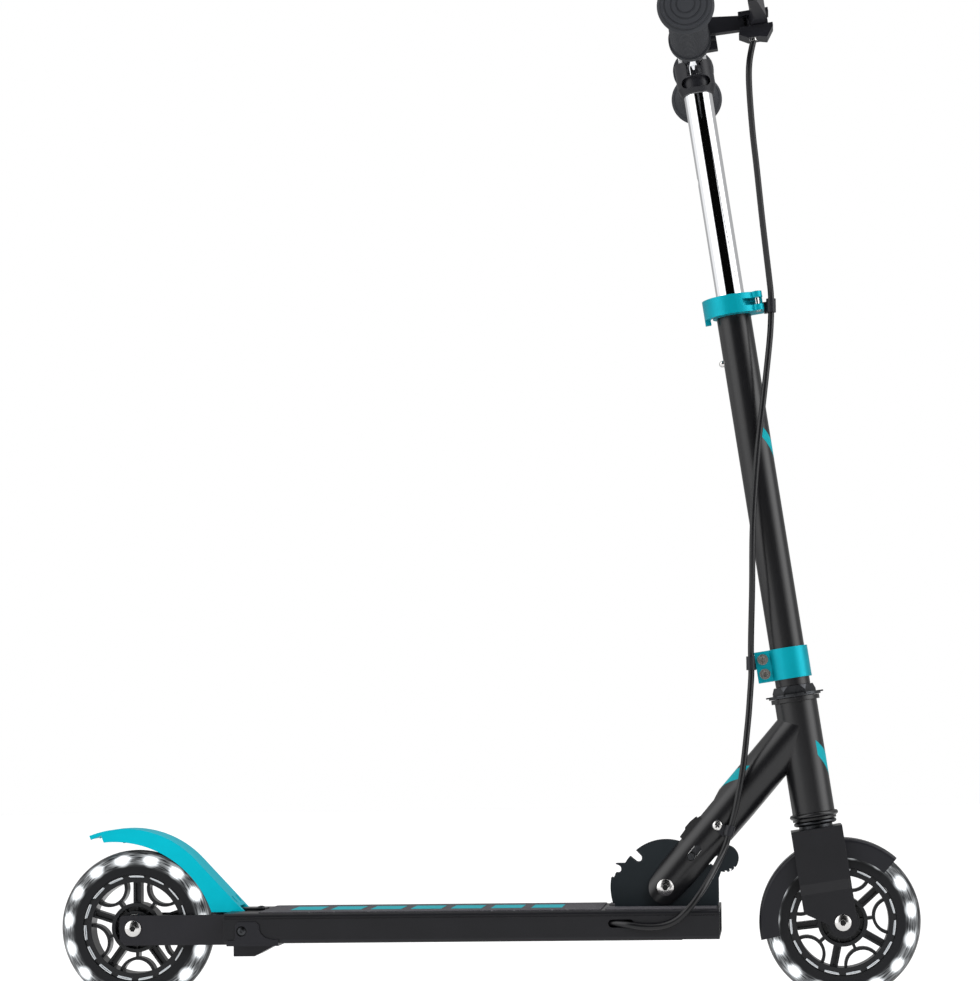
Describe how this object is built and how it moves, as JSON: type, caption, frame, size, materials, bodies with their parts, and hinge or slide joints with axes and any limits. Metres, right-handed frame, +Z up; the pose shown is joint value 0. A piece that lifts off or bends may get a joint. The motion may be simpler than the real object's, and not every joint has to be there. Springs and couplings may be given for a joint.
{
  "type": "kick scooter",
  "caption": "Folding two-wheel kick scooter with light-up wheels, telescopic handlebar, toothed fold quadrant, foot brake and cable hand brake.",
  "frame": {"origin": "on the ground, midway between the two axles, on the mid-plane", "axes": "+X forward, +Y to the rider's left, +Z up"},
  "size_m": [0.695, 0.34, 0.8003],
  "materials": {
    "frame_black": "satin black powder coat",
    "moulded_black": "satin moulded plastic",
    "quadrant_paint": "satin blue-grey paint",
    "teal_paint": "satin teal anodised or painted metal",
    "teal_plastic": "semi-gloss moulded teal plastic",
    "chrome": "polished chrome",
    "zinc": "bright zinc-plated steel",
    "dark_steel": "black oxide steel",
    "grip_tape": "coarse mineral grip tape",
    "grip_rubber": "soft dark grey rubber",
    "clear_tyre": "clear smoky polyurethane",
    "wheel_core": "glossy black moulded nylon",
    "led_white": "lit white light module",
    "brake_lining": "hard black friction rubber",
    "cable_housing": "black cable housing"
  },
  "bodies": {
    "deck_frame": {"deck": "frame_black", "grip_tape": "grip_tape", "front_grip_pads": "grip_tape", "fold_quadrants": "quadrant_paint", "rear_stays": "frame_black", "rear_axle": "zinc", "brake_cover": "moulded_black", "deck_screws": "zinc", "fender_bracket": "dark_steel", "fender_pin": "zinc", "fender_spring": "zinc", "rocker_pin": "dark_steel", "cable_deck": "cable_housing"},
    "rear_wheel": {"rear_core": "wheel_core", "rear_tyre": "clear_tyre", "rear_bearings": "zinc", "rear_leds": "led_white"},
    "foot_brake": {"rear_fender": "teal_plastic", "fender_pad": "brake_lining"},
    "rocker": {"brake_rocker": "dark_steel", "brake_pad": "brake_lining"},
    "neck": {"neck_frame": "frame_black", "fold_bolt": "zinc", "upper_cup": "frame_black", "lower_cup": "frame_black", "cable_guide": "moulded_black", "cable_fold": "cable_housing"},
    "lock": {"lock_yoke": "dark_steel"},
    "button": {"release_button": "moulded_black"},
    "steering": {"fork": "frame_black", "crown_race": "zinc", "column_tube": "frame_black", "lock_nut": "dark_steel", "lock_washer": "dark_steel", "lower_clamp": "teal_paint", "clamp_bolts": "dark_steel", "upper_collar": "teal_paint", "collar_bolt": "zinc", "lower_cable_clip": "moulded_black", "upper_cable_clip": "moulded_black", "front_fender": "moulded_black", "front_axle": "zinc", "cable_column": "cable_housing", "cable_steering": "cable_housing"},
    "front_wheel": {"front_core": "wheel_core", "front_tyre": "clear_tyre", "front_bearings": "zinc", "front_leds": "led_white"},
    "quick_release": {"qr_lever": "teal_paint"},
    "snap": {"snap_button": "zinc"},
    "mast": {"mast_tube": "chrome", "handlebar": "chrome", "left_grip": "grip_rubber", "right_grip": "grip_rubber", "grip_holder": "moulded_black", "bar_snap_balls": "zinc", "brake_mount": "moulded_black", "cable_ferrule": "zinc", "cable_upper": "cable_housing"},
    "hand_lever": {"brake_lever": "moulded_black"}
  },
  "joints": [
    {"name": "rear_wheel_spin", "type": "hinge", "parent": "deck_frame", "child": "rear_wheel", "pos_m": [-0.285, 0, 0.0625], "axis": [0, 1, 0], "continuous": true},
    {"name": "foot_brake_hinge", "type": "hinge", "parent": "deck_frame", "child": "foot_brake", "pos_m": [-0.2125, 0, 0.0821], "axis": [0, -1, 0], "range_deg": [0, 4.8], "stiffness_Nm_per_rad": 6, "springref_deg": -11.46},
    {"name": "rocker_hinge", "type": "hinge", "parent": "deck_frame", "child": "rocker", "pos_m": [-0.197, 0, 0.058], "axis": [0, -1, 0], "range_deg": [0, 12], "stiffness_Nm_per_rad": 0.3, "springref_deg": -11.46},
    {"name": "neck_fold", "type": "hinge", "parent": "deck_frame", "child": "neck", "pos_m": [0.1441, 0, 0.0913], "axis": [0, -1, 0], "range_deg": [0, 84], "deforming": ["cable_fold"]},
    {"name": "button_press", "type": "slide", "parent": "neck", "child": "button", "axis": [0.759, 0, -0.6511], "range_m": [0, 0.003], "stiffness_N_per_m": 800, "springref_m": -0.003},
    {"name": "lock_slide", "type": "slide", "parent": "neck", "child": "lock", "axis": [0.6511, 0, 0.759], "range_m": [0, 0.007], "stiffness_N_per_m": 400, "springref_m": -0.004},
    {"name": "steering_turn", "type": "hinge", "parent": "neck", "child": "steering", "pos_m": [0.285, 0, 0], "axis": [-0.1431, 0, 0.9897], "range_deg": [-60, 60], "deforming": ["cable_steering"]},
    {"name": "front_wheel_spin", "type": "hinge", "parent": "steering", "child": "front_wheel", "pos_m": [0.285, 0, 0.0625], "axis": [0, 1, 0], "continuous": true},
    {"name": "quick_release_swing", "type": "hinge", "parent": "steering", "child": "quick_release", "pos_m": [0.22554, -0.0132, 0.55365], "axis": [-0.1431, 0, 0.9897], "range_deg": [0, 100]},
    {"name": "snap_press", "type": "slide", "parent": "steering", "child": "snap", "axis": [0.9897, 0, 0.1431], "range_m": [0, 0.0034], "stiffness_N_per_m": 500, "springref_m": -0.002},
    {"name": "mast_slide", "type": "slide", "parent": "steering", "child": "mast", "axis": [0.1431, 0, -0.9897], "range_m": [0, 0.15], "deforming": ["cable_upper"]},
    {"name": "hand_brake", "type": "hinge", "parent": "mast", "child": "hand_lever", "pos_m": [0.2277, -0.052, 0.77342], "axis": [0.1431, 0, -0.9897], "range_deg": [0, 15], "stiffness_Nm_per_rad": 1, "springref_deg": -17.19}
  ],
  "couplings": [
    {"joint": "rocker_hinge", "follows": "hand_brake", "ratio": 0.8},
    {"joint": "lock_slide", "follows": "button_press", "ratio": 2.3333}
  ]
}
